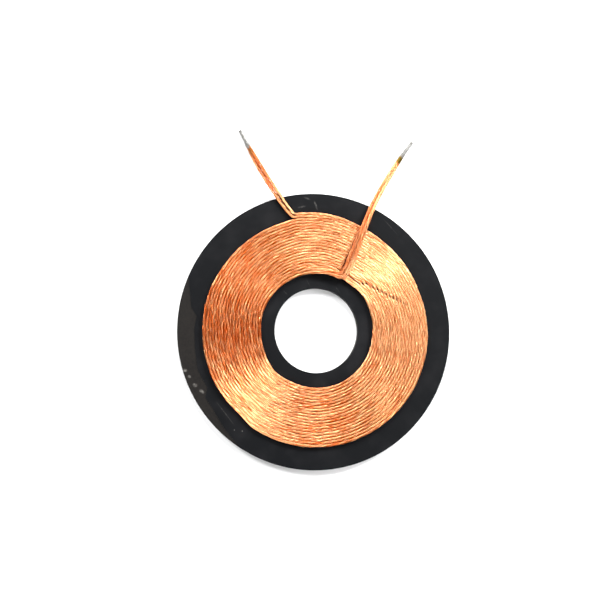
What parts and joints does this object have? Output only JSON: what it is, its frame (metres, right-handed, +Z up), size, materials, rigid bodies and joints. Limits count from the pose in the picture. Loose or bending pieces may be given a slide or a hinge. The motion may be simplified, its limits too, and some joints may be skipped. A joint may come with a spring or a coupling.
{
  "type": "wireless charging coil",
  "caption": "Flat spiral coil of paired litz wire on a round ferrite shield with a centre hole, for wireless charging, with bent leads and tinned ends.",
  "frame": {"origin": "on the centre hole's axis, at the underside of the ferrite ring", "axes": "+Z up, out of the wound face; +Y towards the side where both leads leave; +X to the picture's right"},
  "size_m": [0.05, 0.0615, 0.0024],
  "materials": {
    "ferrite": "matte",
    "film": "satin",
    "tape": "matte",
    "enamelled_copper": "satin",
    "solder": "satin"
  },
  "bodies": {
    "root": {"ferrite_ring": "ferrite", "cover_film": "film", "coil_tape": "tape", "litz_wire_a": "enamelled_copper", "litz_wire_b": "enamelled_copper", "tinned_end_inner": "solder", "tinned_end_outer": "solder"}
  },
  "joints": []
}
